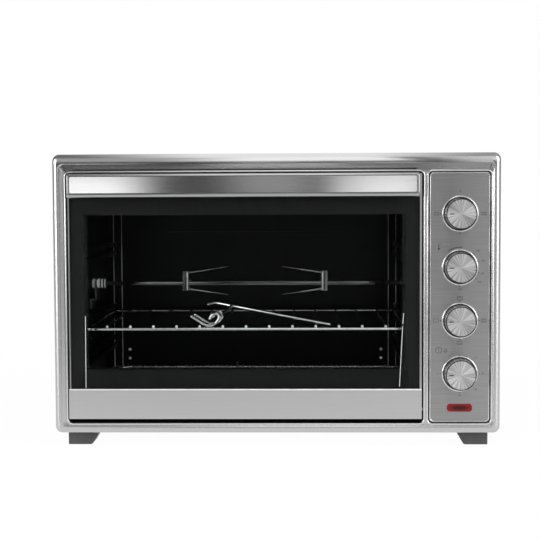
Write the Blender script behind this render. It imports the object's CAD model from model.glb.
import bmesh
import bpy
import math
from mathutils import Matrix, Vector


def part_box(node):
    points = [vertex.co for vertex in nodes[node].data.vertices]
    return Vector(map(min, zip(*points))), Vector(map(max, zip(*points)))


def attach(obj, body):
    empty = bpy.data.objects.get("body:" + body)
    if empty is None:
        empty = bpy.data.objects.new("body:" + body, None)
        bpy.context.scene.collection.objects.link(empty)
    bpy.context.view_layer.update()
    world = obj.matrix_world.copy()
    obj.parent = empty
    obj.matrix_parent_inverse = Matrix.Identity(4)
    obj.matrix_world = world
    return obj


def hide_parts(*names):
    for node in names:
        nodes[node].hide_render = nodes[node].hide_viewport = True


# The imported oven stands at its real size, its front towards -Y.
# Every piece below is dressed where its solid stands, with sizes in millimetres.
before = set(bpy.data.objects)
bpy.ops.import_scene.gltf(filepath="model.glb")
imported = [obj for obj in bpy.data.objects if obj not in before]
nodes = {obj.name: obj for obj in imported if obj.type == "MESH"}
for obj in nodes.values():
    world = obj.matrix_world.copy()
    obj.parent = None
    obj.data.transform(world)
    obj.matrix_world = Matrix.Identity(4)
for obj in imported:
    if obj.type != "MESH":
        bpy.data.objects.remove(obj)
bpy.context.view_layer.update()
MM = 0.001


# Four moulded plastic feet, dark grey with a fine spark-eroded texture.
# Each is screwed up into the base plate.
def new_node(mat, kind):
    return mat.node_tree.nodes.new("ShaderNode" + kind)


def link(mat, start, end):
    mat.node_tree.links.new(start, end)


def shader_of(mat):
    return mat.node_tree.nodes["Principled BSDF"]


def finish(name, colour, rough, metal=0.0):
    mat = bpy.data.materials.new(name)
    mat.use_nodes = True
    shader = shader_of(mat)
    shader.inputs["Base Color"].default_value = (*colour, 1.0)
    shader.inputs["Roughness"].default_value = rough
    shader.inputs["Metallic"].default_value = metal
    return mat


def place(mat, scale=(1.0, 1.0, 1.0), shift=(0.0, 0.0, 0.0)):
    where = new_node(mat, "TexCoord")
    mapping = new_node(mat, "Mapping")
    mapping.inputs["Location"].default_value = shift
    mapping.inputs["Scale"].default_value = scale
    link(mat, where.outputs["Object"], mapping.inputs["Vector"])
    return mapping.outputs["Vector"]


def noise(mat, scale, detail=3.0, stretch=(1.0, 1.0, 1.0)):
    node = new_node(mat, "TexNoise")
    node.inputs["Scale"].default_value = scale
    node.inputs["Detail"].default_value = detail
    link(mat, place(mat, stretch), node.inputs["Vector"])
    return node.outputs["Fac"]


def spread(mat, pattern, low, high, start=0.3, end=0.7):
    node = new_node(mat, "MapRange")
    for name, value in (("From Min", start), ("From Max", end), ("To Min", low), ("To Max", high)):
        node.inputs[name].default_value = value
    link(mat, pattern, node.inputs["Value"])
    return node.outputs["Result"]


def tint(mat, pattern, dark, light, start=0.3, end=0.7):
    ramp = new_node(mat, "ValToRGB")
    stops = ramp.color_ramp.elements
    stops[0].position = start
    stops[1].position = end
    stops[0].color = (*dark, 1.0)
    stops[1].color = (*light, 1.0)
    link(mat, pattern, ramp.inputs["Fac"])
    return ramp.outputs["Color"]


def drive(mat, socket, value):
    link(mat, value, shader_of(mat).inputs[socket])


def relief(mat, pattern, height, strength):
    bump = new_node(mat, "Bump")
    bump.inputs["Distance"].default_value = height * MM
    bump.inputs["Strength"].default_value = strength
    link(mat, pattern, bump.inputs["Height"])
    drive(mat, "Normal", bump.outputs["Normal"])


def grey(level):
    return (level, level, level)


def dress(mat, *names):
    for name in names:
        slots = nodes[name].data.materials
        slots.clear()
        slots.append(mat)


def moulded(name, level, rough):
    mat = finish(name, grey(level), rough)
    spark = noise(mat, scale=1400.0, detail=2.0)
    cloud = noise(mat, scale=60.0)
    drive(mat, "Base Color", tint(mat, cloud, grey(level * 0.85), grey(level * 1.12)))
    drive(mat, "Roughness", spread(mat, spark, rough - 0.08, rough + 0.1))
    relief(mat, spark, height=0.12, strength=0.5)
    return mat


foot_plastic = moulded("foot_plastic", level=0.045, rough=0.5)
dress(foot_plastic, "foot_front_left", "foot_front_right", "foot_back_left", "foot_back_right")


# The base plate and the heat shield are zinc coated sheet, dull grey with a faint spangle.
# Screws and hinge pins have a brighter coat of zinc.
def zinc_sheet(name, level, rough):
    mat = finish(name, grey(level), rough, metal=1.0)
    spangle = new_node(mat, "TexVoronoi")
    spangle.inputs["Scale"].default_value = 70.0
    link(mat, place(mat), spangle.inputs["Vector"])
    flake = spangle.outputs["Distance"]
    drive(mat, "Base Color", tint(mat, flake, grey(level * 0.88), grey(level * 1.08), start=0.1, end=0.8))
    drive(mat, "Roughness", spread(mat, noise(mat, scale=40.0), rough - 0.07, rough + 0.1))
    relief(mat, noise(mat, scale=900.0, detail=2.0), height=0.03, strength=0.4)
    return mat


zinc = zinc_sheet("zinc_sheet", level=0.55, rough=0.42)
dress(zinc, "base_plate", "heat_shield")
screw_zinc = zinc_sheet("screw_zinc", level=0.66, rough=0.3)
dress(screw_zinc, "foot_screws", "cover_screws", "handle_screws", "hinge_pins")


# The cavity is folded sheet, coated with glossy black enamel.
# Enamel pools a little, so its gloss wavers and fine specks show in it.
def enamel(name, level, rough):
    mat = finish(name, grey(level), rough)
    shader_of(mat).inputs["Specular IOR Level"].default_value = 0.25
    specks = noise(mat, scale=700.0, detail=4.0)
    pool = noise(mat, scale=24.0, detail=2.0)
    drive(mat, "Base Color", tint(mat, specks, grey(level * 0.7), grey(level * 1.8), start=0.45, end=0.75))
    drive(mat, "Roughness", spread(mat, pool, rough - 0.03, rough + 0.04))
    relief(mat, pool, height=0.04, strength=0.25)
    return mat


def box_mm(name):
    return [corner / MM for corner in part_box(name)]


black_enamel = enamel("black_enamel", level=0.0012, rough=0.32)
dress(black_enamel, "cavity_left_wall", "cavity_right_wall", "cavity_back_wall", "cavity_ceiling",
      "cavity_floor", "front_flange")
back_low, back_high = box_mm("cavity_back_wall")
cavity_mid = (back_low.x + back_high.x) / 2
wall_sheet = 1.0


# Where the back wall is folded at its corners, the enamel is thin and the steel shows along the folds.
# Each bare edge is a fine upright line.
def piece(shell, name, mat, body, slot, *replaced, sharp=30.0):
    bmesh.ops.recalc_face_normals(shell, faces=shell.faces)
    for face in shell.faces:
        face.smooth = True
    mesh = bpy.data.meshes.new(name)
    shell.to_mesh(mesh)
    shell.free()
    mesh.set_sharp_from_angle(angle=math.radians(sharp))
    mesh.materials.append(mat)
    obj = bpy.data.objects.new(name, mesh)
    bpy.context.scene.collection.objects.link(obj)
    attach(obj, body)
    if replaced:
        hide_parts(*replaced)
    return obj


def grow(shell, faces, reach):
    grown = bmesh.ops.extrude_face_region(shell, geom=faces)["geom"]
    tips = [vert for vert in grown if isinstance(vert, bmesh.types.BMVert)]
    bmesh.ops.translate(shell, vec=Vector(reach) * MM, verts=tips)


def rod(shell, start, reach, r, steps):
    lean = Vector((0.0, 0.0, 1.0)).rotation_difference(Vector(reach)).to_matrix().to_4x4()
    where = Matrix.Translation(Vector(start) * MM) @ lean
    ring = bmesh.ops.create_circle(shell, cap_ends=True, segments=steps, radius=r * MM, matrix=where)
    grow(shell, list({face for vert in ring["verts"] for face in vert.link_faces}), reach)


def worn(name, level, rough):
    mat = finish(name, grey(level), rough)
    wear = noise(mat, scale=30.0, detail=4.0)
    drive(mat, "Base Color", tint(mat, wear, grey(level * 0.6), grey(level * 1.3)))
    drive(mat, "Roughness", spread(mat, wear, rough - 0.1, rough + 0.1))
    return mat


worn_edge = worn("worn_edge", level=0.5, rough=0.4)
fold_half = 233.0
corner_strip = 22.5
edge_r = 0.6
edge_gap = 1.0
edge_reach = (0.0, 0.0, back_high.z - back_low.z - 2 * edge_gap)
edge_shell = bmesh.new()
for strip_share, y in ((0.5, back_low.y), (1.0, back_high.y - wall_sheet)):
    away = fold_half - corner_strip * strip_share
    for side in (-1, 1):
        rod(edge_shell, (cavity_mid + side * away, y, back_low.z + edge_gap), edge_reach, edge_r, steps=10)
piece(edge_shell, "fold_edges", worn_edge, "housing", "black_enamel", sharp=50)


# Three rivets stand above each other at each side of the back wall.
# They are bright steel, set from inside.
def turned(shell, profile, centre, steps):
    posts = [shell.verts.new((Vector(centre) + Vector((r, y, 0.0))) * MM) for r, y in profile]
    edges = [shell.edges.new(pair) for pair in zip(posts, posts[1:])]
    bmesh.ops.spin(shell, geom=posts + edges, cent=Vector(centre) * MM, axis=(0.0, 1.0, 0.0),
                   angle=2 * math.pi, steps=steps, use_merge=True)
    bmesh.ops.remove_doubles(shell, verts=shell.verts, dist=0.0005 * MM)


rivet_steel = worn("rivet_steel", level=0.8, rough=0.35)
rivet_profile = ((0.0, -1.5), (0.8, -1.4), (1.5, -1.1), (2.0, -0.6), (2.3, 0.0), (1.9, 0.0),
                 (1.9, wall_sheet), (0.0, wall_sheet))
rivet_away = fold_half - 34.0
rivet_pitch = 14.0
first_rivet = back_low.z + 0.7 * rivet_pitch
rivet_shell = bmesh.new()
for side in (-1, 1):
    for row in range(3):
        rivet_z = first_rivet + row * rivet_pitch
        rivet_spot = (cavity_mid + side * rivet_away, back_high.y - wall_sheet, rivet_z)
        turned(rivet_shell, rivet_profile, rivet_spot, steps=16)
piece(rivet_shell, "vent_rivets", rivet_steel, "housing", "bright_zinc")


# Two sheathed heating tubes, bent to a U, rest in stamped clips.
# Heat leaves a dull grey oxide in patches on the sheath.
def oxide(name):
    mat = finish(name, grey(0.3), rough=0.3, metal=1.0)
    patches = noise(mat, scale=45.0)
    drive(mat, "Base Color", tint(mat, patches, (0.3, 0.29, 0.3), (0.5, 0.49, 0.47)))
    drive(mat, "Roughness", spread(mat, noise(mat, scale=300.0), 0.25, 0.29))
    relief(mat, noise(mat, scale=1500.0, detail=2.0), height=0.012, strength=0.4)
    return mat


tube_oxide = oxide("tube_oxide")
dress(tube_oxide, "upper_element", "lower_element")
dress(screw_zinc, "element_clips")


# Ceramic bushes hold the tube ends in the right wall, and a ceramic block takes the mains wires.
# The lamp holder is ceramic too. Fired ceramic is off-white, matt and slightly pitted.
def ceramic(name):
    mat = finish(name, (0.72, 0.69, 0.62), rough=0.6)
    pits = noise(mat, scale=800.0)
    drive(mat, "Base Color", tint(mat, noise(mat, scale=90.0), (0.62, 0.58, 0.5), (0.78, 0.75, 0.68)))
    drive(mat, "Roughness", spread(mat, pits, 0.5, 0.72))
    relief(mat, pits, height=0.1, strength=0.5)
    return mat


white_ceramic = ceramic("white_ceramic")
dress(white_ceramic, "element_bushes", "terminal_block", "lamp_holder")


# The spit motor is a passivated steel can on a gear case, with a yellowish shimmer.
# The shafts of the controls are turned brass.
def passivated(name, dark, light, rough):
    mat = finish(name, light, rough, metal=1.0)
    drive(mat, "Base Color", tint(mat, noise(mat, scale=55.0, detail=2.0), dark, light))
    drive(mat, "Roughness", spread(mat, noise(mat, scale=500.0), rough - 0.08, rough + 0.1))
    relief(mat, noise(mat, scale=1800.0, detail=2.0), height=0.02, strength=0.4)
    return mat


motor_steel = passivated("motor_steel", (0.5, 0.4, 0.22), (0.66, 0.58, 0.36), rough=0.36)
dress(motor_steel, "spit_motor")
turned_brass = passivated("turned_brass", (0.56, 0.42, 0.18), (0.72, 0.58, 0.3), rough=0.28)
dress(turned_brass, "function_shaft", "temperature_shaft", "element_shaft", "timer_shaft")


# Rack, hooks, lifting tool, forks and drive socket are steel, chromium plated.
# The plating is bright, with faint drawing lines and small dull spots.
def chrome(name, level, rough, metal=1.0):
    mat = finish(name, grey(level), rough, metal)
    drive(mat, "Base Color", tint(mat, noise(mat, scale=160.0), grey(level * 0.86), grey(level)))
    drive(mat, "Roughness", spread(mat, noise(mat, scale=420.0), rough - 0.05, rough + 0.08))
    relief(mat, noise(mat, scale=1600.0, detail=2.0), height=0.01, strength=0.3)
    return mat


bright_chrome = chrome("bright_chrome", level=0.92, rough=0.09)
dress(bright_chrome, "wire_rack", "lifting_tool", "rack_hooks")
spit_chrome = chrome("spit_chrome", level=0.27, rough=0.1)
dress(spit_chrome, "drive_socket")
fork_chrome = chrome("fork_chrome", level=0.5, rough=0.1)
dress(fork_chrome, "fork_left", "fork_right")


# The spit's collar is satin plated, and soot sits in its two grooves.
# It turns in a dull zinc bracket, and zinc coated screws clamp the forks.
def along(mat, axis, shift=(0.0, 0.0, 0.0)):
    split = new_node(mat, "SeparateXYZ")
    link(mat, place(mat, shift=shift), split.inputs["Vector"])
    return split.outputs[axis]


def banded(mat, marks):
    low, high = marks[0][0], marks[-1][0]
    ramp = new_node(mat, "ValToRGB")
    link(mat, spread(mat, along(mat, "X"), 0.0, 1.0, low, high), ramp.inputs["Fac"])
    stops = ramp.color_ramp.elements
    for x, level in marks[1:-1]:
        stops.new((x - low) / (high - low)).color = (*grey(level), 1.0)
    stops[0].color = (*grey(marks[0][1]), 1.0)
    stops[len(stops) - 1].color = (*grey(marks[-1][1]), 1.0)
    return ramp.outputs["Color"]


plated, soot = 0.95, 0.02
groove_slope = 0.2
collar_marks = [(-273.0, plated)]
for groove_low, groove_high in ((-261.5, -259.5), (-257.0, -255.0)):
    collar_marks += [(groove_low - groove_slope, plated), (groove_low, soot)]
    collar_marks += [(groove_high, soot), (groove_high + groove_slope, plated)]
collar_marks.append((-254.0, plated))
collar_satin = chrome("collar_satin", level=plated, rough=0.34, metal=0.2)
drive(collar_satin, "Base Color", banded(collar_satin, [(x * MM, level) for x, level in collar_marks]))
dress(collar_satin, "spit_collar")
dress(screw_zinc, "fork_screws")
dull_zinc = zinc_sheet("dull_zinc", level=0.2, rough=0.5)
dress(dull_zinc, "spit_support")


# The spit is a square bar with softly drawn edges, which catch the light as thin lines.
# It is pushed into the drive socket on the right and hangs by its collar on the left.
def block(shell, low, high):
    bmesh.ops.create_cube(shell, size=1.0)
    bmesh.ops.scale(shell, vec=high - low, verts=shell.verts)
    bmesh.ops.translate(shell, vec=(low + high) / 2, verts=shell.verts)


def soften(shell, r, steps):
    bmesh.ops.bevel(shell, geom=shell.edges, offset=r * MM, affect="EDGES", segments=steps,
                    profile=0.5, material=-1)


rod_low, rod_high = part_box("spit_rod")
rod_shell = bmesh.new()
block(rod_shell, rod_low, rod_high)
soften(rod_shell, r=1.2, steps=4)
piece(rod_shell, "spit_bar", spit_chrome, "spit", "chrome_wire", "spit_rod", sharp=60)


# Each fork's hub has a round ridge on its front, where the plate was pressed over the bar.
# It is polished and plated with the fork.
ridge_r = 2.6
ridge_length = 26.0
ridge_in = 6.35
ridge_y = rod_low.y / MM - 3.25
ridge_z = rod_low.z / MM + 6.75
ridge_shell = bmesh.new()
for ridge_x in (box_mm("fork_left")[0].x + ridge_in, box_mm("fork_right")[1].x - ridge_in):
    ridge_at = Matrix.Translation(Vector((ridge_x, ridge_y, ridge_z)) * MM)
    bmesh.ops.create_cone(ridge_shell, cap_ends=True, segments=20, radius1=ridge_r * MM,
                          radius2=ridge_r * MM, depth=ridge_length * MM, matrix=ridge_at)
piece(ridge_shell, "fork_ridges", bright_chrome, "spit", "chrome_wire", sharp=50)


# The rack's cross wires end in domes where they were cut and welded over the front wire.
# The cut ends are duller than the plated wires.
wire_count = 13
wire_pitch = 31.45
wire_front = -136.4
wire_level = 157.6
dome_profile = ((0.0, -1.5), (0.7, -1.4), (1.3, -1.0), (1.7, -0.3), (1.8, 0.4), (1.5, 0.8))
wire_shell = bmesh.new()
for number in range(wire_count):
    wire_x = cavity_mid + (number - wire_count // 2) * wire_pitch
    turned(wire_shell, dome_profile, (wire_x, wire_front, wire_level), steps=12)
bmesh.ops.holes_fill(wire_shell, edges=wire_shell.edges, sides=0)
cut_steel = chrome("cut_steel", level=0.95, rough=0.4, metal=0.2)
piece(wire_shell, "wire_ends", cut_steel, "rack", "chrome_wire")


# The front frame is pressed from one sheet of brushed stainless steel.
# Its grain runs across the oven, so reflections smear up and down. The roll along its top is polished.
def brushed(name, level, rough, smear, grain=0.03):
    mat = finish(name, grey(level), rough, metal=1.0)
    shader_of(mat).inputs["Anisotropic"].default_value = smear
    upright = new_node(mat, "CombineXYZ")
    upright.inputs["Z"].default_value = 1.0
    drive(mat, "Tangent", upright.outputs["Vector"])
    hairline = noise(mat, scale=1.0, detail=2.0, stretch=(16.0, 3600.0, 3600.0))
    drive(mat, "Base Color", tint(mat, hairline, grey(level * (1 - grain)), grey(level * (1 + grain))))
    drive(mat, "Roughness", spread(mat, hairline, rough - 0.02, rough + 0.02))
    relief(mat, hairline, height=0.00012, strength=0.4)
    return mat


def round_off(shell, posts, r):
    bmesh.ops.bevel(shell, geom=posts, offset=r * MM, affect="VERTICES", segments=8,
                    profile=0.5, material=-1)


# Sides are given as left, right, low and high.
def outline(shell, sides, corner, y):
    left, right, low, high = sides
    before = set(shell.edges)
    spots = ((left, low), (left, high), (right, high), (right, low))
    posts = [shell.verts.new(Vector((x, y, z)) * MM) for x, z in spots]
    shell.faces.new(posts)
    round_off(shell, posts, corner)
    rim = [edge for edge in shell.edges if edge not in before]
    sheet = {face for edge in rim for face in edge.link_faces}
    bmesh.ops.delete(shell, geom=list(sheet), context="FACES_ONLY")
    return rim


def inset(sides, by):
    left, right, low, high = sides
    return (left + by, right - by, low + by, high - by)


def between(starts, ends, shares):
    return [start + (end - start) * share for start, end, share in zip(starts, ends, shares)]


def rolled(shell, starts, ends, corner, corner_end, y, depth, turns):
    rims = []
    for turn in turns:
        angle = math.radians(turn)
        share = 1 - math.sin(angle)
        radius = corner + (corner_end - corner) * share
        sides = between(starts, ends, [share] * len(starts))
        rims.append(outline(shell, sides, radius, y + depth * (1 - math.cos(angle))))
    return rims


def loft(shell, rims):
    faces = []
    for near, far in zip(rims, rims[1:]):
        faces += bmesh.ops.bridge_loops(shell, edges=near + far)["faces"]
    return faces


def dip(rim, depth, room):
    posts = {vert for edge in rim for vert in edge.verts}
    top = max(vert.co.z for vert in posts)
    for vert in posts:
        vert.co.y += depth * MM * max(0.0, 1.0 - (top - vert.co.z) / (room * MM))


satin_rough, polished_rough = 0.25, 0.14
polish_low, polish_high = 364.0 * MM, 368.0 * MM
frame_steel = brushed("frame_steel", level=0.53, rough=satin_rough, smear=0.8)
level_on_frame = along(frame_steel, "Z")
polish = spread(frame_steel, level_on_frame, satin_rough, polished_rough, polish_low, polish_high)
drive(frame_steel, "Roughness", polish)

frame_low, frame_high = box_mm("front_frame")
front = frame_low.y
outer_corner, roll_corner = 9.0, 6.0
roll_depth = 6.5
roll_left, roll_right, roll_low, roll_high = 7.5, 8.0, 7.0, 13.0
frame_sides = (frame_low.x, frame_high.x, frame_low.z, frame_high.z)
roll_end = (frame_low.x + roll_left, frame_high.x - roll_right,
            frame_low.z + roll_low, frame_high.z - roll_high)
roll_turns = (90, 78, 66, 54, 42, 30, 20, 10, 0)
frame_shell = bmesh.new()
frame_rims = [outline(frame_shell, frame_sides, outer_corner, frame_high.y)]
frame_rims += rolled(frame_shell, frame_sides, roll_end, outer_corner, roll_corner,
                     front, roll_depth, roll_turns)

# The slope starts and ends at these shares of the way from the roll to the openings.
# Two loops in one plane would be bridged across the opening, so its ends stand off by a hair.
slope_starts = (0.26, 0.26, 0.26, 0.03)
slope_ends = (0.72, 0.72, 0.72, 0.97)
door_open = (-277.3, 194.0, 33.0, 366.0)
panel_open = (199.5, 282.6, 33.0, 366.0)
open_corner = 6.0
bead_r = 1.05
bead_out = 0.6
recess = 0.9
hair = 0.02
top_dip, dip_room = 0.9, 6.6
lip_depth = 9.0
frame_thick = 1.0
slope_corner = open_corner + bead_out
both_open = inset((door_open[0], panel_open[1], door_open[2], door_open[3]), -bead_out)
for down in (0.0, 0.06, 0.94, 1.0):
    slope_shares = between(slope_starts, slope_ends, [down] * len(slope_starts))
    slope_sides = between(roll_end, both_open, slope_shares)
    slope_y = front + hair + (recess - 2 * hair) * down
    frame_rims.append(outline(frame_shell, slope_sides, slope_corner, slope_y))
    dip(frame_rims[-1], top_dip * down, dip_room)
frame_rims.append(outline(frame_shell, both_open, slope_corner, front + recess))
dip(frame_rims[-1], top_dip, dip_room)
frame_rims.append(outline(frame_shell, both_open, slope_corner, front + lip_depth))
frame_sheet = loft(frame_shell, frame_rims)
bmesh.ops.recalc_face_normals(frame_shell, faces=frame_sheet)
bmesh.ops.solidify(frame_shell, geom=frame_sheet, thickness=frame_thick * MM)

# The upright bar between the two openings flares into fillets at its ends.
fillet_room = open_corner + 0.5
flange = bead_out + 0.2


def fillet_points(x, room, end):
    z = door_open[3] if end > 0 else door_open[2]
    return [(x + room, z + end * flange), (x + room, z), (x, z)]


bar_left, bar_right = door_open[1], panel_open[0]
bar_points = fillet_points(bar_left, -fillet_room, 1) + fillet_points(bar_left, -fillet_room, -1)[::-1]
bar_points += fillet_points(bar_right, fillet_room, -1) + fillet_points(bar_right, fillet_room, 1)[::-1]
sheet_posts = set(frame_shell.verts)
bar_posts = [frame_shell.verts.new(Vector((x, front + recess, z)) * MM) for x, z in bar_points]
frame_shell.faces.new(bar_posts)
bent = [post for post, spot in zip(bar_posts, bar_points) if spot[0] in (bar_left, bar_right)]
round_off(frame_shell, bent, open_corner)
bar_faces = [face for face in frame_shell.faces if sheet_posts.isdisjoint(face.verts)]
grow(frame_shell, bar_faces, (0.0, lip_depth - recess, 0.0))
piece(frame_shell, "pressed_frame", frame_steel, "housing", "brushed_frame", "front_frame")


# A bead of polished steel runs round each opening and hides the sheet's cut edge.
# It is rolled from the same sheet, so it stands half sunk in the face.
bead_turns = [math.radians(turn) for turn in range(18, 360, 36)]
bead_shell = bmesh.new()
for opening in (door_open, panel_open):
    bead_rims = []
    for angle in bead_turns:
        out = bead_out + bead_r * math.cos(angle)
        bead_y = front + recess - bead_r * math.sin(angle)
        bead_rims.append(outline(bead_shell, inset(opening, -out), open_corner + out, bead_y))
    loft(bead_shell, bead_rims + bead_rims[:1])
bead_steel = brushed("bead_steel", level=0.72, rough=0.18, smear=0.2)
piece(bead_shell, "opening_beads", bead_steel, "housing", "brushed_frame", sharp=60)


# A black seal lines the door opening, so the gap round the door looks dark.
# It is a thin rubber strip, glued to the inside of the opening.
seal_thick = 0.6
seal_slant = 0.1
seal_start = recess + 0.8
seal_loops = ((0.0, seal_start), (seal_thick, seal_start + seal_slant),
              (seal_thick, lip_depth - seal_slant), (0.0, lip_depth))
seal_shell = bmesh.new()
seal_rims = [outline(seal_shell, inset(door_open, thick), open_corner - thick, front + y)
             for thick, y in seal_loops]
loft(seal_shell, seal_rims + seal_rims[:1])
seal_black = moulded("seal_black", level=0.01, rough=0.7)
piece(seal_shell, "opening_seal", seal_black, "housing", "door_black", sharp=60)


# The control panel is a flat plate of the same brushed steel behind the right opening.
# A dark gap and a thin bright rim run round it.
panel_steel = brushed("panel_steel", level=0.36, rough=0.3, smear=1.0, grain=0.12)
dress(panel_steel, "control_panel")
panel_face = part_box("control_panel")[0].y / MM
panel_corner = open_corner - 1.0
gap_left, gap_else = 2.3, 1.6
panel_seat = (panel_open[0] + gap_left, *inset(panel_open, gap_else)[1:])
gap_outer, gap_inner = inset(panel_open, -0.3), inset(panel_seat, 0.2)
gap_loops = ((gap_outer, 0.0), (gap_outer, -0.2), (gap_inner, -0.25), (gap_inner, 0.05))
gap_shell = bmesh.new()
gap_rims = [outline(gap_shell, sides, panel_corner, panel_face + y) for sides, y in gap_loops]
loft(gap_shell, gap_rims + gap_rims[:1])
rim_r = 0.75
rim_shell = bmesh.new()
rim_rims = []
for angle in bead_turns:
    rim_sides = inset(panel_seat, rim_r * (1 + math.cos(angle)))
    rim_rims.append(outline(rim_shell, rim_sides, panel_corner, panel_face - rim_r * math.sin(angle)))
loft(rim_shell, rim_rims + rim_rims[:1])
piece(gap_shell, "panel_gap", seal_black, "housing", "brushed_panel", sharp=60)
piece(rim_shell, "panel_rim", bead_steel, "housing", "brushed_panel", sharp=60)


# The signs round the knobs are printed on the panel in dark grey ink.
# They are plain dots, bars, numbers and oven boxes with a line for the tube that is on.
def ink(name, level):
    mat = finish(name, grey(level), rough=0.5)
    wear = noise(mat, scale=2200.0, detail=2.0)
    drive(mat, "Base Color", tint(mat, wear, grey(level * 0.7), grey(level * 1.5)))
    drive(mat, "Roughness", spread(mat, wear, 0.4, 0.6))
    return mat


ink_grey = ink("ink_grey", level=0.018)
ink_thick = 0.05
line = 0.5
dot_r = 25.6
small_dot = 0.6
facing = Matrix.Rotation(math.pi / 2, 4, "X")


def dot(shell, x, z, r=0.75):
    where = Matrix.Translation(Vector((x, panel_face, z)) * MM) @ facing
    bmesh.ops.create_circle(shell, cap_ends=True, segments=14, radius=r * MM, matrix=where)


def bar(shell, start, end, wide=line):
    run = Vector(end) - Vector(start)
    aside = Vector((-run.y, run.x)).normalized() * wide / 2
    corners = (Vector(start) + aside, Vector(start) - aside, Vector(end) - aside, Vector(end) + aside)
    shell.faces.new([shell.verts.new(Vector((spot.x, panel_face, spot.y)) * MM) for spot in corners])


def arc(shell, x, z, r, start, sweep, wide):
    centre = Vector((x, panel_face, z))
    outwards = Vector((math.cos(math.radians(start)), 0.0, math.sin(math.radians(start))))
    posts = [shell.verts.new((centre + outwards * reach) * MM) for reach in (r - wide / 2, r + wide / 2)]
    crossing = shell.edges.new(posts)
    bmesh.ops.spin(shell, geom=posts + [crossing], cent=centre * MM, axis=(0.0, -1.0, 0.0),
                   angle=math.radians(sweep), steps=max(6, int(sweep / 10)), use_merge=sweep >= 360)


def numeral(shell, digits, x, z, size=3.2):
    curve = bpy.data.curves.new("numeral", "FONT")
    curve.body = digits
    curve.size = size * MM
    curve.align_x = "CENTER"
    curve.align_y = "CENTER"
    sign = bpy.data.objects.new("numeral", curve)
    bpy.context.scene.collection.objects.link(sign)
    flat = bpy.data.meshes.new_from_object(sign.evaluated_get(bpy.context.evaluated_depsgraph_get()))
    flat.transform(Matrix.Translation(Vector((x, panel_face, z)) * MM) @ facing)
    shell.from_mesh(flat)
    bpy.data.objects.remove(sign)
    bpy.data.curves.remove(curve)
    bpy.data.meshes.remove(flat)


def numbers_round(shell, x, z, rows):
    for turn, digits, away in rows:
        angle = math.radians(turn)
        dot(shell, x + dot_r * math.cos(angle), z + dot_r * math.sin(angle), small_dot)
        numeral(shell, digits, x + away * math.cos(angle), z + away * math.sin(angle))


def oven_box(shell, x, z, tubes=(), wide=6.4, high=4.4):
    left, right, low, top = x - wide / 2, x + wide / 2, z - high / 2, z + high / 2
    for start, end in (((left, low), (left, top)), ((right, low), (right, top)),
                       ((left, low), (right, low)), ((left, top), (right, top))):
        bar(shell, start, end, 0.45)
    tube_in = 1.3
    for level in tubes:
        bar(shell, (left + tube_in, z + level), (right - tube_in, z + level))


def print_on(shell, name):
    grow(shell, list(shell.faces), (0.0, -ink_thick, 0.0))
    piece(shell, name, ink_grey, "housing", "brushed_panel")


knob_spots = {}
for dial in ("function", "temperature", "element", "timer"):
    knob_low, knob_high = box_mm(dial + "_knob")
    knob_spots[dial] = (knob_low + knob_high) / 2

# The function dial has four dots, an empty box on its left and a box with two lines on its right.
x, z = knob_spots["function"].x, knob_spots["function"].z
signs = bmesh.new()
for across, up in ((0.0, dot_r + 4.0), (-dot_r, 0.0), (dot_r, 0.0), (0.0, -dot_r)):
    dot(signs, x + across, z + up)
oven_box(signs, x - 31.0, z, wide=5.6, high=3.4)
oven_box(signs, x + 31.2, z, tubes=(0.7, -0.7), wide=6.8, high=3.6)
print_on(signs, "function_signs")

# The temperature dial has a gauge, a short arc and degrees.
x, z = knob_spots["temperature"].x, knob_spots["temperature"].z
gauge_x, gauge_z = x - 27.7, z + 25.0
signs = bmesh.new()
arc(signs, x, z, 26.2, start=84, sweep=44, wide=1.0)
bar(signs, (gauge_x, gauge_z), (gauge_x, gauge_z + 6.0), 0.9)
dot(signs, gauge_x, gauge_z - 0.8, 1.3)
bar(signs, (gauge_x + 1.1, gauge_z + 5.4), (gauge_x + 3.1, gauge_z + 5.4))
degrees = ((43, "100", 31.5), (16, "150", 31.0), (-16, "200", 31.0), (-37, "225", 32.5),
           (-90, "250", 29.2))
numbers_round(signs, x, z, degrees)
print_on(signs, "temperature_signs")

# The element dial has a box at each quarter, with a line for each tube that is on.
x, z = knob_spots["element"].x, knob_spots["element"].z
signs = bmesh.new()
for across, up, tubes in ((-1, 0, ()), (0, 1, (1.0,)), (1, 0, (1.0, -1.0)), (0, -1, (-1.0,))):
    dot(signs, x + across * dot_r, z + up * dot_r)
    oven_box(signs, x + across * 31.4, z + up * 29.6, tubes)
print_on(signs, "element_signs")

# The timer dial has a clock, a bell and minutes.
x, z = knob_spots["timer"].x, knob_spots["timer"].z
clock_x, clock_z = x - 27.7, z + 31.1
bell_x, bell_z = x - 18.6, z + 31.0
signs = bmesh.new()
arc(signs, clock_x, clock_z, 4.0, start=0, sweep=360, wide=0.55)
for hand_x, hand_z in ((0.0, 2.6), (1.7, -1.0)):
    bar(signs, (clock_x, clock_z), (clock_x + hand_x, clock_z + hand_z))
arc(signs, bell_x, bell_z, 1.5, start=0, sweep=180, wide=0.6)
for side in (-1, 1):
    bar(signs, (bell_x + side * 1.5, bell_z), (bell_x + side * 1.9, bell_z - 1.8))
bar(signs, (bell_x - 2.4, bell_z - 1.9), (bell_x + 2.4, bell_z - 1.9), 0.6)
dot(signs, bell_x, bell_z - 2.8, small_dot)
minutes = ((180, "0", 29.2), (45, "15", 29.8), (0, "30", 30.0), (-45, "45", 29.8), (-90, "60", 29.0))
numbers_round(signs, x, z, minutes)
print_on(signs, "timer_signs")


# Behind the panel sit two rotary switches, a thermostat and a timer.
# Their cases are moulded in dark heat-proof plastic.
switch_plastic = moulded("switch_plastic", level=0.09, rough=0.55)
dress(switch_plastic, "function_switch", "thermostat", "element_switch", "timer")


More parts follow.
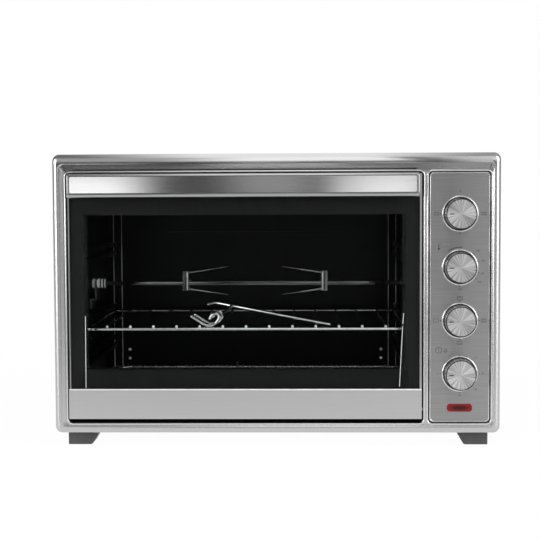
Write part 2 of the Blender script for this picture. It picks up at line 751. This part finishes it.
# The pilot lamp shows through a moulded red lens with a smooth face and a rounded edge.
# The lamp is off, so its middle looks almost black.
lamp_low, lamp_high = box_mm("lamp_lens")


def red_lens(name):
    mat = finish(name, (0.25, 0.003, 0.006), rough=0.2)
    shader_of(mat).inputs["Specular IOR Level"].default_value = 0.3
    middle = (lamp_low + lamp_high) / 2 * MM
    size = (lamp_high - lamp_low) * MM
    scale = (2 / size.x, 0.0, 2.4 / size.z)
    shift = (-middle.x * scale[0], 0.0, -middle.z * scale[2])
    ball = new_node(mat, "TexGradient")
    ball.gradient_type = "SPHERICAL"
    link(mat, place(mat, scale, shift), ball.inputs["Vector"])
    edge_red, middle_red = (0.15, 0.0015, 0.003), (0.025, 0.0, 0.001)
    drive(mat, "Base Color", tint(mat, ball.outputs["Fac"], edge_red, middle_red, start=0.05, end=0.5))
    return mat


lens_red = red_lens("lens_red")
lens_corner = 3.6
lens_sides = (lamp_low.x, lamp_high.x, lamp_low.z, lamp_high.z)
lens_loops = ((0.0, 2.7), (0.0, 0.7), (0.3, 0.25), (0.9, 0.05), (1.8, 0.0))
lamp_shell = bmesh.new()
lamp_rims = [outline(lamp_shell, inset(lens_sides, room), lens_corner - room / 2, lamp_low.y + y)
             for room, y in lens_loops]
loft(lamp_shell, lamp_rims)
bmesh.ops.holes_fill(lamp_shell, edges=lamp_shell.edges, sides=0)
piece(lamp_shell, "lamp_window", lens_red, "housing", "lens_red", "lamp_lens")


# A thin chromium plated ring stands round each knob, with a black gasket inside it.
# Ring and gasket are pressed into the panel.
ring_in, ring_out = 21.6, 24.0
ring_r = (ring_in + ring_out) / 2
ring_foot, ring_rise = 1.1, 1.7
ring_profile = [(ring_out, 0.0)]
for turn in range(0, 181, 20):
    angle = math.radians(turn)
    ring_x = ring_r + (ring_out - ring_r) * math.cos(angle)
    ring_profile.append((ring_x, -ring_foot - ring_rise * math.sin(angle)))
ring_profile += [(ring_in, 0.0), (ring_out, 0.0)]
gasket_in, gasket_out = 20.3, 21.7
gasket_profile = ((gasket_in, 0.0), (gasket_in, -0.3), (gasket_out, -0.35), (gasket_out, 0.0),
                  (gasket_in, 0.0))
ring_shell = bmesh.new()
gasket_shell = bmesh.new()
for spot in knob_spots.values():
    seat = (spot.x, panel_face, spot.z)
    turned(ring_shell, ring_profile, seat, steps=72)
    turned(gasket_shell, gasket_profile, seat, steps=72)
ring_chrome = chrome("ring_chrome", level=0.85, rough=0.16)
piece(ring_shell, "knob_rings", ring_chrome, "housing", "bezel_chrome", "knob_bezels")
gasket_black = moulded("gasket_black", level=0.012, rough=0.6)
piece(gasket_shell, "knob_gaskets", gasket_black, "housing", "switch_plastic")


# Four knobs are straight caps of turned metal with a spun face, a short black pointer and a metal inlay.
# The spun grain runs in rings, so light falls on the face in fans.
# The rim round the face is lacquered dark.
face_rough, side_rough = 0.34, 0.26
lacquer_deep = 0.35


def spun(name, level):
    mat = finish(name, grey(level), face_rough, metal=1.0)
    shader_of(mat).inputs["Anisotropic"].default_value = 0.9
    shader_of(mat).inputs["Anisotropic Rotation"].default_value = 0.25
    round_y = new_node(mat, "Tangent")
    round_y.direction_type = "RADIAL"
    round_y.axis = "Y"
    drive(mat, "Tangent", round_y.outputs["Tangent"])
    rays = new_node(mat, "TexNoise")
    rays.inputs["Scale"].default_value = 9.0
    rays.inputs["Detail"].default_value = 4.0
    link(mat, round_y.outputs["Tangent"], rays.inputs["Vector"])
    grain = tint(mat, rays.outputs["Fac"], grey(level * 0.58), grey(level * 1.36))
    depth = along(mat, "Y")
    blur = 0.05 * MM
    rim_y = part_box("function_knob")[0].y + lacquer_deep * MM
    side_y = rim_y + 0.5 * MM
    lacquer = new_node(mat, "Mix")
    lacquer.data_type = "RGBA"
    link(mat, spread(mat, depth, 1.0, 0.0, rim_y - blur, rim_y + blur), lacquer.inputs["Factor"])
    link(mat, grain, lacquer.inputs["A"])
    lacquer.inputs["B"].default_value = (0.03, 0.03, 0.032, 1.0)
    drive(mat, "Base Color", lacquer.outputs["Result"])
    drive(mat, "Roughness", spread(mat, depth, face_rough, side_rough, side_y - blur, side_y + blur))
    return mat


knob_metal = spun("knob_metal", level=0.56)
pointer_black = moulded("pointer_black", level=0.015, rough=0.5)
cap_r, face_r = 20.0, 18.7
face_deep = 0.72
rim_slope = 0.15
chamfer = 0.2
cap_inner = 17.5
cap_top = 3.0
fill_front, fill_back = 0.6, 1.05
fill_half = 0.7
fills = (("_pointer", pointer_black, "switch_plastic", 15.4, 9.6),
         ("_inlay", knob_metal, "knob_metal", 9.6, 6.4))
for dial, spot in knob_spots.items():
    knob_low, knob_high = box_mm(dial + "_knob")
    face_y = knob_low.y
    deep = knob_high.y - face_y
    cap_profile = ((0.0, face_deep), (face_r, face_deep), (face_r + rim_slope, 0.1),
                   (face_r + 2 * rim_slope, 0.0), (cap_r - chamfer, 0.0), (cap_r, chamfer),
                   (cap_r, deep), (cap_inner, deep), (cap_inner, cap_top), (0.0, cap_top))
    cap = bmesh.new()
    turned(cap, cap_profile, (spot.x, face_y, spot.z), steps=96)
    piece(cap, dial + "_cap", knob_metal, dial + "_dial", "knob_metal", dial + "_knob")
    for name, mat, slot, start, end in fills:
        low = Vector((spot.x - start, face_y + fill_front, spot.z - fill_half))
        high = Vector((spot.x - end, face_y + fill_back, spot.z + fill_half))
        fill = bmesh.new()
        block(fill, low * MM, high * MM)
        soften(fill, r=0.1, steps=2)
        piece(fill, dial + name, mat, dial + "_dial", slot)


# The door is a pressed frame, painted black, with bright steel lips left and right of the glass.
# It hangs on two pins in brackets behind the front frame.
door_dark = 0.003
door_rough = 0.45


def door_paint(name):
    mat = finish(name, grey(door_dark), door_rough)
    shader_of(mat).inputs["Specular IOR Level"].default_value = 0.35
    drive(mat, "Base Color", tint(mat, noise(mat, scale=300.0), grey(0.0025), grey(0.004)))
    relief(mat, noise(mat, scale=1200.0, detail=2.0), height=0.03, strength=0.4)
    return mat


def combine(mat, operation, *values, clamp=False):
    node = new_node(mat, "Math")
    node.operation = operation
    node.use_clamp = clamp
    for value, socket in zip(values, node.inputs):
        link(mat, value, socket)
    return node.outputs["Value"]


def aside_from(mat, middle):
    return combine(mat, "ABSOLUTE", along(mat, "X", shift=(-middle * MM, 0.0, 0.0)))


def painted_to_lip(name, lip, left_cut):
    mat = door_paint(name)
    blur = 0.05
    past_lip = spread(mat, aside_from(mat, cavity_mid), 0.0, 1.0, (lip - blur) * MM, (lip + blur) * MM)
    past_cut = spread(mat, along(mat, "X"), 0.0, 1.0, left_cut * MM, (left_cut + 2 * blur) * MM)
    bare = combine(mat, "MULTIPLY", past_lip, past_cut)
    drive(mat, "Base Color", tint(mat, bare, grey(door_dark), grey(0.5), start=0.4, end=0.6))
    drive(mat, "Roughness", spread(mat, bare, door_rough, 0.3, start=0.4, end=0.6))
    drive(mat, "Metallic", bare)
    return mat


door_black = door_paint("door_black")
dress(door_black, "door_inner_panel", "hinge_brackets")
door_half = 233.5
lip_wide = 2.6
door_painted = painted_to_lip("door_painted", door_half - lip_wide, -274.2)
dress(door_painted, "door_frame")


# The door's glass is one clear toughened pane, held between the frame's lips and the trim.
# Light passes straight through it and a little is mirrored at its outer face.
def mix_surface(mat, share, under, over):
    mix = new_node(mat, "MixShader")
    link(mat, share, mix.inputs["Fac"])
    link(mat, under, mix.inputs[1])
    link(mat, over, mix.inputs[2])
    link(mat, mix.outputs["Shader"], mat.node_tree.nodes["Material Output"].inputs["Surface"])


def see_through(mat, share, colour=(1.0, 1.0, 1.0)):
    clear = new_node(mat, "BsdfTransparent")
    clear.inputs["Color"].default_value = (*colour, 1.0)
    mix_surface(mat, share, clear.outputs["BSDF"], shader_of(mat).outputs["BSDF"])


def pane(name):
    mat = finish(name, grey(0.02), rough=0.03)
    gloss = new_node(mat, "Fresnel")
    gloss.inputs["IOR"].default_value = 1.25
    side_of = new_node(mat, "NewGeometry")
    outside = combine(mat, "SUBTRACT", gloss.outputs["Fac"], side_of.outputs["Backfacing"], clamp=True)
    see_through(mat, outside, (0.86, 0.87, 0.87))
    drive(mat, "Roughness", spread(mat, noise(mat, scale=8.0), 0.02, 0.05))
    return mat


window_glass = pane("window_glass")
dress(window_glass, "door_glass")
glass_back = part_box("door_glass")[1].y / MM


# A black print on the back of the glass reaches a little over the window's left and right edges.
# Its dots thin out inwards, so the edge is soft.
def fading_print(name, inner, outer):
    mat = door_paint(name)
    see_through(mat, spread(mat, aside_from(mat, cavity_mid), 0.0, 1.0, inner * MM, outer * MM))
    return mat


def strip(shell, corners, y):
    return shell.faces.new([shell.verts.new(Vector((x, y, z)) * MM) for x, z in corners])


print_inner, print_full, print_outer = 206.5, 213.5, 214.4
print_low, print_high = 105.0, 309.5
print_gap, print_thick = 0.05, 0.15
print_shell = bmesh.new()
for side in (-1, 1):
    near, far = cavity_mid + side * print_inner, cavity_mid + side * print_outer
    corners = ((near, print_low), (far, print_low), (far, print_high), (near, print_high))
    strip(print_shell, corners, glass_back + print_gap)
bmesh.ops.recalc_face_normals(print_shell, faces=print_shell.faces)
grow(print_shell, list(print_shell.faces), (0.0, print_thick, 0.0))
window_print = fading_print("window_print", print_inner, print_full)
piece(print_shell, "window_print", window_print, "door", "door_black")


# The rack hooks show their bright front edges in two narrow slits of the black door skin.
# Each edge is a thin steel strip against the back of the glass, and the right one is broken near its top.
hook_lines = (((-253.6, 80.0), (-253.2, 176.0)),
              ((162.6, 82.0), (166.6, 162.0)),
              ((166.9, 165.0), (167.9, 179.0)))
hook_half = 0.45
hook_sunk, hook_thick = 0.02, 0.3
hook_shell = bmesh.new()
for (foot_x, foot_z), (top_x, top_z) in hook_lines:
    corners = ((foot_x - hook_half, foot_z), (foot_x + hook_half, foot_z),
               (top_x + hook_half, top_z), (top_x - hook_half, top_z))
    strip(hook_shell, corners, glass_back - hook_sunk)
bmesh.ops.recalc_face_normals(hook_shell, faces=hook_shell.faces)
grow(hook_shell, list(hook_shell.faces), (0.0, -hook_thick, 0.0))
strip_steel = chrome("strip_steel", level=0.75, rough=0.4, metal=0.4)
piece(hook_shell, "hook_edges", strip_steel, "door", "bright_zinc", sharp=60)


# The trim strip under the glass is folded aluminium with a satin face.
# Its top edge is polished by the fold.
satin_trim = brushed("satin_trim", level=0.53, rough=0.4, smear=0.4)
dress(satin_trim, "door_trim")
trim_low, trim_high = box_mm("door_trim")
fold_r = 0.9
fold_in = 0.6
fold_start = (trim_low.x + fold_in, trim_low.y + fold_r - 0.1, trim_high.z - fold_r + 0.4)
fold_shell = bmesh.new()
rod(fold_shell, fold_start, (trim_high.x - trim_low.x - 2 * fold_in, 0.0, 0.0), fold_r, steps=14)
fold_steel = chrome("fold_steel", level=0.72, rough=0.32, metal=0.4)
piece(fold_shell, "trim_fold", fold_steel, "door", "satin_trim", sharp=60)


# The handle is a silver painted bar with rolled edges, screwed to two posts.
# A brushed plate is let into its face and mirrors the lights to both sides of the oven.
handle_silver = brushed("handle_silver", level=0.38, rough=0.2, smear=0.3)
dress(handle_silver, "handle_posts")
bar_low, bar_high = box_mm("handle_bar")
bar_foot = bar_low.z + 1.2
bar_top = bar_high.z + 0.9
bar_roll, foot_roll = 2.6, 6.2
bar_corner, bar_corner_end = 3.0, 2.0
bar_depth = 6.5
face_step = 0.1
bar_sides = (bar_low.x, bar_high.x, bar_foot, bar_top)
bar_end = (bar_low.x + bar_roll, bar_high.x - bar_roll, bar_foot + foot_roll, bar_top - bar_roll)
bar_turns = (90, 75, 60, 45, 30, 15, 0)
bar_face = bar_low.y + face_step
bar_shell = bmesh.new()
bar_rims = [outline(bar_shell, bar_sides, bar_corner, bar_high.y)]
bar_rims += rolled(bar_shell, bar_sides, bar_end, bar_corner, bar_corner_end,
                   bar_face, bar_depth, bar_turns)
bed_sides = (bar_low.x + 4.6, bar_high.x - 4.6, bar_low.z + 7.7, bar_high.z - 2.8)
bed_corner = 1.5
bed_deep = 0.75
bar_rims.append(outline(bar_shell, bed_sides, bed_corner, bar_face))
bar_rims.append(outline(bar_shell, inset(bed_sides, 0.2), bed_corner, bar_face + bed_deep))
loft(bar_shell, bar_rims)
bmesh.ops.contextual_create(bar_shell, geom=bar_rims[0])
bmesh.ops.contextual_create(bar_shell, geom=bar_rims[-1])
piece(bar_shell, "pull_bar", handle_silver, "door", "handle_silver", "handle_bar")
handle_steel = brushed("handle_steel", level=0.75, rough=0.12, smear=0.5)
dress(handle_steel, "handle_plate")


# The cover wraps round both sides and the top, and slides into the front frame.
# It is coated sheet, silver grey, closed at the back by a slotted panel with screws.
def coated(name, level, rough):
    mat = finish(name, grey(level), rough, metal=0.35)
    shader_of(mat).inputs["Specular IOR Level"].default_value = 0.25
    flake = noise(mat, scale=1300.0, detail=2.0)
    drive(mat, "Base Color", tint(mat, flake, grey(level * 0.9), grey(level * 1.1)))
    drive(mat, "Roughness", spread(mat, noise(mat, scale=18.0), rough - 0.05, rough + 0.06))
    relief(mat, flake, height=0.02, strength=0.3)
    return mat


cover_paint = coated("cover_paint", level=0.4, rough=0.5)
dress(cover_paint, "outer_cover", "back_panel")
gland_plastic = moulded("gland_plastic", level=0.02, rough=0.5)
dress(gland_plastic, "cable_gland")


# A plain white table without an edge carries the oven. From here on, sizes are in metres.
# Near the feet it keeps the shadow, further out it fades into the white room.
def stage_board(name, low, high, mat):
    mesh = bpy.data.meshes.new(name)
    board = bmesh.new()
    block(board, Vector(low), Vector(high))
    board.to_mesh(mesh)
    board.free()
    obj = bpy.data.objects.new(name, mesh)
    bpy.context.scene.collection.objects.link(obj)
    mesh.materials.append(mat)
    return obj


def seen_or_mirrored(owner):
    path = new_node(owner, "LightPath")
    total = path.outputs["Is Camera Ray"]
    for ray in ("Is Glossy Ray", "Is Transmission Ray"):
        total = combine(owner, "MAXIMUM", total, path.outputs[ray])
    return total


table_white = finish("table_white", grey(0.9), rough=0.9)
fade = new_node(table_white, "TexGradient")
fade.gradient_type = "SPHERICAL"
link(table_white, place(table_white, (0.9, 0.9, 0.9)), fade.inputs["Vector"])
glow_level = spread(table_white, fade.outputs["Fac"], 1.0, 0.965, start=0.1, end=0.6)
glow_share = combine(table_white, "MULTIPLY", glow_level, seen_or_mirrored(table_white))
glow = new_node(table_white, "Emission")
mix_surface(table_white, glow_share, shader_of(table_white).outputs["BSDF"], glow.outputs["Emission"])
table_reach = 8.0
stage_board("table", (-table_reach, -table_reach, -0.02), (table_reach, table_reach, 0.0), table_white)


# Behind the camera hangs a studio wall with dark and bright fields, under a roof board.
# The camera and the shadows leave them out, so only metal and glass mirror them.
def lit_board(name, marks, low, high, strength=1.0):
    mat = finish(name, grey(0.0), rough=0.9)
    drive(mat, "Emission Color", banded(mat, marks))
    shader_of(mat).inputs["Emission Strength"].default_value = strength
    board = stage_board(name, low, high, mat)
    board.visible_camera = False
    board.visible_diffuse = False
    board.visible_shadow = False


wall_reach = 1.8
wall_back, wall_face = -3.02, -3.0
low_top, high_top, band_top = 0.41, 1.08, 2.9
wall_marks = ((-1.8, 0.3), (-1.05, 0.3), (-1.0, 1.0), (-0.6, 1.0), (-0.46, 0.03), (-0.28, 0.02),
              (-0.16, 0.16), (0.02, 0.16), (0.05, 0.04), (0.1, 0.04), (0.15, 0.5), (0.25, 0.75),
              (0.43, 0.9), (0.88, 0.8), (0.95, 0.36), (1.8, 0.36))
lit_board("low_wall", wall_marks, (-wall_reach, wall_back, 0.0), (wall_reach, wall_face, low_top), 1.7)
high_marks = ((-1.8, 0.05), (-0.3, 0.05), (-0.15, 0.38), (-0.02, 0.38), (0.04, 0.16), (1.8, 0.16))
lit_board("high_wall", high_marks, (-wall_reach, wall_back, low_top), (wall_reach, wall_face, high_top))
side_marks = ((0.43, 0.02), (0.5, 0.05), (0.56, 0.3), (0.64, 0.9), (0.8, 1.0))
lit_board("right_board", side_marks, (0.43, -2.99, 0.0), (0.8, -2.98, 3.0))
band_marks = ((-1.8, 0.5), (-0.5, 0.6), (-0.2, 1.6), (0.4, 1.6), (0.7, 1.2), (1.8, 1.2))
lit_board("bright_band", band_marks, (-wall_reach, wall_back, high_top), (wall_reach, wall_face, band_top))
roof_marks = ((-1.8, 0.2), (-0.5, 0.25), (-0.2, 1.4), (0.2, 1.4), (0.45, 0.5), (1.8, 0.45))
lit_board("roof_board", roof_marks, (-wall_reach, -1.31, 1.4), (wall_reach, 0.9, 1.42))


# A grey cloth with darker stripes lies on the table before the wall, hidden from the camera.
# A dim screen stands far out on each side, for the oven's side walls to mirror.
cloth_grey = finish("cloth_grey", grey(0.1), rough=1.0)
cloth_marks = ((-1.6, 0.12), (-0.54, 0.12), (-0.49, 0.035), (-0.2, 0.035), (-0.12, 0.26), (0.09, 0.26),
               (0.13, 0.08), (0.27, 0.08), (0.33, 0.19), (1.4, 0.19))
drive(cloth_grey, "Base Color", banded(cloth_grey, cloth_marks))
cloth = stage_board("table_cloth", (-1.6, wall_face, 0.001), (1.4, -0.76, 0.003), cloth_grey)
cloth.visible_camera = False
screen_level = 0.3
screen_away, screen_thick = 2.6, 0.02
for side, name in ((-1, "left_screen"), (1, "right_screen")):
    left_x, right_x = sorted((side * screen_away, side * (screen_away + screen_thick)))
    screen_marks = ((left_x, screen_level), (right_x, screen_level))
    lit_board(name, screen_marks, (left_x, -0.6, 0.0), (right_x, 2.5, 2.0))


# Five soft boxes light the oven, three of which the metal mirrors.
# The white room gives the rest, at half strength on matt surfaces.
def soft_box(name, stand, aim, size, power=18.0, mirrored=True):
    light = bpy.data.lights.new(name, "AREA")
    light.shape = "RECTANGLE"
    light.size = size[0]
    light.size_y = size[1]
    light.energy = power
    obj = bpy.data.objects.new(name, light)
    obj.location = stand
    obj.rotation_euler = (Vector(aim) - Vector(stand)).to_track_quat("-Z", "Y").to_euler()
    obj.visible_glossy = mirrored
    bpy.context.scene.collection.objects.link(obj)


soft_box("top_box", stand=(0.2, -0.75, 2.1), aim=(0.1, -0.1, 0.2), size=(2.0, 1.4), mirrored=False)
soft_box("front_box", stand=(0.04, -1.9, 0.62), aim=(-0.04, 0.0, 0.2), size=(0.9, 0.5), mirrored=False)
soft_box("left_box", stand=(-1.9, -1.5, 0.8), aim=(0.0, -0.1, 0.2), size=(1.0, 1.3))
soft_box("right_box", stand=(1.9, -1.5, 0.8), aim=(0.0, -0.1, 0.2), size=(1.0, 1.3))
soft_box("high_right_box", stand=(1.36, -1.22, 1.53), aim=(0.24, -0.18, 0.24), size=(0.5, 0.5), power=6.0)

world = bpy.data.worlds.new("studio")
bpy.context.scene.world = world
world.use_nodes = True
sky = world.node_tree.nodes["Background"]
sky.inputs["Color"].default_value = (1.0, 1.0, 1.0, 1.0)
link(world, spread(world, seen_or_mirrored(world), 0.5, 1.0, 0.0, 1.0), sky.inputs["Strength"])


# The camera stands a little right of the oven's middle, about two metres from it.
# It looks slightly left and down, and leans by a fraction of a degree.
camera_data = bpy.data.cameras.new("camera")
camera_data.lens = 89.4
camera_data.sensor_width = 36.0
camera = bpy.data.objects.new("camera", camera_data)
stand = Matrix.Translation((0.0424, -1.942, 0.3449))
look_left = Matrix.Rotation(math.radians(1.634), 4, "Z")
look_down = Matrix.Rotation(math.radians(90.0 - 3.508), 4, "X")
lean = Matrix.Rotation(math.radians(-0.277), 4, "Z")
camera.matrix_world = stand @ look_left @ look_down @ lean
bpy.context.scene.collection.objects.link(camera)
bpy.context.scene.camera = camera
bpy.context.scene.view_settings.view_transform = "Standard"
